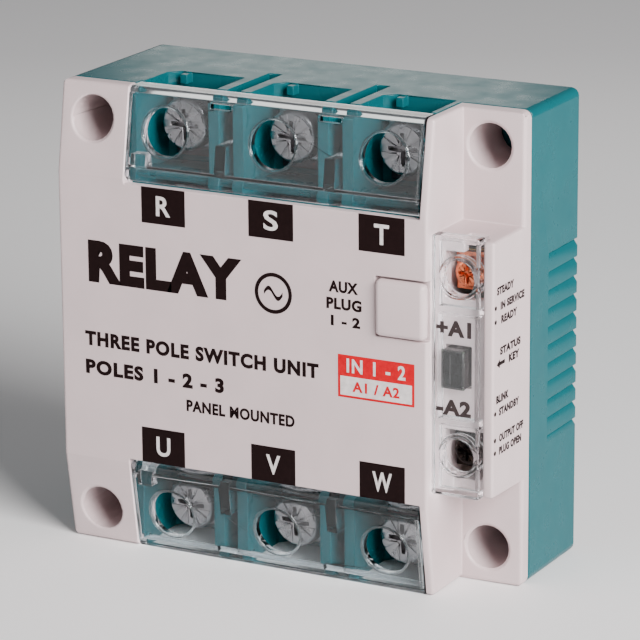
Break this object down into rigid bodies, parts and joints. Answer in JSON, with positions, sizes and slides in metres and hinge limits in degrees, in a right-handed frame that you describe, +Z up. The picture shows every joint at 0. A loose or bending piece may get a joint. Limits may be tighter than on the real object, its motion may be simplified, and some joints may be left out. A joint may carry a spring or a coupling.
{
  "type": "solid state relay",
  "caption": "Square panel-mounted three-phase solid state relay: teal housing, sloped grey cover, clear hinged terminal covers, side control block.",
  "frame": {"origin": "middle of the mounting face, which is the back of the base plate", "axes": "+Y points out of the back into the panel, -Y is the front with the terminals, +X is right seen from the front, +Z is up"},
  "size_m": [0.09, 0.0392, 0.09],
  "materials": {
    "teal_plastic": "glossy moulded teal plastic, fine mould texture",
    "grey_plastic": "satin light grey moulded plastic, faintly warm",
    "clear_plastic": "clear moulded polycarbonate",
    "smoked_plastic": "smoked clear lens",
    "aluminium": "milled aluminium plate",
    "nickel_steel": "nickel-plated steel",
    "zinc_steel": "zinc-plated steel",
    "tinned_copper": "tinned copper, dark grey with a warm tint",
    "copper": "bare copper",
    "blackened_steel": "blackened steel, near black",
    "brass": "stamped brass",
    "board_laminate": "green solder-masked glass laminate",
    "black_epoxy": "black moulded epoxy",
    "lamp_resin": "milky clear diode resin"
  },
  "bodies": {
    "root": {"base_plate": "aluminium", "base_housing": "teal_plastic", "front_cover": "grey_plastic", "signal_header": "black_epoxy", "control_board": "board_laminate", "terminal_bar_r": "tinned_copper", "terminal_nut_r": "zinc_steel", "terminal_bar_s": "tinned_copper", "terminal_nut_s": "zinc_steel", "terminal_bar_t": "tinned_copper", "terminal_nut_t": "zinc_steel", "terminal_bar_u": "tinned_copper", "terminal_nut_u": "zinc_steel", "terminal_bar_v": "tinned_copper", "terminal_nut_v": "zinc_steel", "terminal_bar_w": "tinned_copper", "terminal_nut_w": "zinc_steel", "control_terminal_a1": "brass", "control_terminal_a2": "brass", "thyristor_module_1": "black_epoxy", "optocoupler_1": "black_epoxy", "thyristor_module_2": "black_epoxy", "optocoupler_2": "black_epoxy", "thyristor_module_3": "black_epoxy", "optocoupler_3": "black_epoxy", "overheat_switch": "black_epoxy", "input_capacitor": "black_epoxy", "status_led": "lamp_resin", "lamp_lens": "smoked_plastic", "housing_screw_1": "zinc_steel", "housing_screw_2": "zinc_steel", "housing_screw_3": "zinc_steel", "housing_screw_4": "zinc_steel"},
    "upper_cover": {"upper_terminal_cover": "clear_plastic"},
    "lower_cover": {"lower_terminal_cover": "clear_plastic"},
    "control_cover": {"control_terminal_cover": "clear_plastic"},
    "signal_cap": {"signal_connector_cap": "grey_plastic"},
    "clamp_r": {"clamp_washer_r": "nickel_steel", "spring_washer_r": "zinc_steel"},
    "screw_r": {"terminal_screw_r": "nickel_steel"},
    "clamp_s": {"clamp_washer_s": "nickel_steel", "spring_washer_s": "zinc_steel"},
    "screw_s": {"terminal_screw_s": "nickel_steel"},
    "clamp_t": {"clamp_washer_t": "nickel_steel", "spring_washer_t": "zinc_steel"},
    "screw_t": {"terminal_screw_t": "nickel_steel"},
    "clamp_u": {"clamp_washer_u": "nickel_steel", "spring_washer_u": "zinc_steel"},
    "screw_u": {"terminal_screw_u": "nickel_steel"},
    "clamp_v": {"clamp_washer_v": "nickel_steel", "spring_washer_v": "zinc_steel"},
    "screw_v": {"terminal_screw_v": "nickel_steel"},
    "clamp_w": {"clamp_washer_w": "nickel_steel", "spring_washer_w": "zinc_steel"},
    "screw_w": {"terminal_screw_w": "nickel_steel"},
    "clamp_a1": {"control_clamp_a1": "copper"},
    "screw_a1": {"control_screw_a1": "copper"},
    "clamp_a2": {"control_clamp_a2": "blackened_steel"},
    "screw_a2": {"control_screw_a2": "blackened_steel"}
  },
  "joints": [
    {"name": "upper_cover_hinge", "type": "hinge", "parent": "root", "child": "upper_cover", "pos_m": [0, -0.0363, 0.0287], "axis": [1, 0, 0], "range_deg": [0, 95]},
    {"name": "lower_cover_hinge", "type": "hinge", "parent": "root", "child": "lower_cover", "pos_m": [0, -0.0363, -0.0287], "axis": [-1, 0, 0], "range_deg": [0, 95]},
    {"name": "control_cover_pull", "type": "slide", "parent": "root", "child": "control_cover", "axis": [0, -1, 0], "range_m": [0, 0.012]},
    {"name": "signal_cap_pull", "type": "slide", "parent": "root", "child": "signal_cap", "axis": [0, -1, 0], "range_m": [0, 0.014]},
    {"name": "clamp_r_travel", "type": "slide", "parent": "root", "child": "clamp_r", "axis": [0, -1, 0], "range_m": [0, 0.004]},
    {"name": "screw_r_turn", "type": "hinge", "parent": "clamp_r", "child": "screw_r", "pos_m": [-0.0222, -0.0291, 0.0371], "axis": [0, -1, 0], "range_deg": [0, 1800]},
    {"name": "clamp_s_travel", "type": "slide", "parent": "root", "child": "clamp_s", "axis": [0, -1, 0], "range_m": [0, 0.004]},
    {"name": "screw_s_turn", "type": "hinge", "parent": "clamp_s", "child": "screw_s", "pos_m": [0.0005, -0.0291, 0.0371], "axis": [0, -1, 0], "range_deg": [0, 1800]},
    {"name": "clamp_t_travel", "type": "slide", "parent": "root", "child": "clamp_t", "axis": [0, -1, 0], "range_m": [0, 0.004]},
    {"name": "screw_t_turn", "type": "hinge", "parent": "clamp_t", "child": "screw_t", "pos_m": [0.0232, -0.0291, 0.0371], "axis": [0, -1, 0], "range_deg": [0, 1800]},
    {"name": "clamp_u_travel", "type": "slide", "parent": "root", "child": "clamp_u", "axis": [0, -1, 0], "range_m": [0, 0.004]},
    {"name": "screw_u_turn", "type": "hinge", "parent": "clamp_u", "child": "screw_u", "pos_m": [-0.0222, -0.0291, -0.0371], "axis": [0, -1, 0], "range_deg": [0, 1800]},
    {"name": "clamp_v_travel", "type": "slide", "parent": "root", "child": "clamp_v", "axis": [0, -1, 0], "range_m": [0, 0.004]},
    {"name": "screw_v_turn", "type": "hinge", "parent": "clamp_v", "child": "screw_v", "pos_m": [0.0005, -0.0291, -0.0371], "axis": [0, -1, 0], "range_deg": [0, 1800]},
    {"name": "clamp_w_travel", "type": "slide", "parent": "root", "child": "clamp_w", "axis": [0, -1, 0], "range_m": [0, 0.004]},
    {"name": "screw_w_turn", "type": "hinge", "parent": "clamp_w", "child": "screw_w", "pos_m": [0.0232, -0.0291, -0.0371], "axis": [0, -1, 0], "range_deg": [0, 1800]},
    {"name": "clamp_a1_travel", "type": "slide", "parent": "root", "child": "clamp_a1", "axis": [0, -1, 0], "range_m": [0, 0.0015]},
    {"name": "screw_a1_turn", "type": "hinge", "parent": "clamp_a1", "child": "screw_a1", "pos_m": [0.0381, -0.033, 0.0167], "axis": [0, -1, 0], "range_deg": [0, 1080]},
    {"name": "clamp_a2_travel", "type": "slide", "parent": "root", "child": "clamp_a2", "axis": [0, -1, 0], "range_m": [0, 0.0015]},
    {"name": "screw_a2_turn", "type": "hinge", "parent": "clamp_a2", "child": "screw_a2", "pos_m": [0.0381, -0.033, -0.0167], "axis": [0, -1, 0], "range_deg": [0, 1080]}
  ],
  "couplings": [
    {"joint": "clamp_r_travel", "follows": "screw_r_turn", "m_per_rad": 0.00012732},
    {"joint": "clamp_s_travel", "follows": "screw_s_turn", "m_per_rad": 0.00012732},
    {"joint": "clamp_t_travel", "follows": "screw_t_turn", "m_per_rad": 0.00012732},
    {"joint": "clamp_u_travel", "follows": "screw_u_turn", "m_per_rad": 0.00012732},
    {"joint": "clamp_v_travel", "follows": "screw_v_turn", "m_per_rad": 0.00012732},
    {"joint": "clamp_w_travel", "follows": "screw_w_turn", "m_per_rad": 0.00012732},
    {"joint": "clamp_a1_travel", "follows": "screw_a1_turn", "m_per_rad": 0.000079577},
    {"joint": "clamp_a2_travel", "follows": "screw_a2_turn", "m_per_rad": 0.000079577}
  ]
}
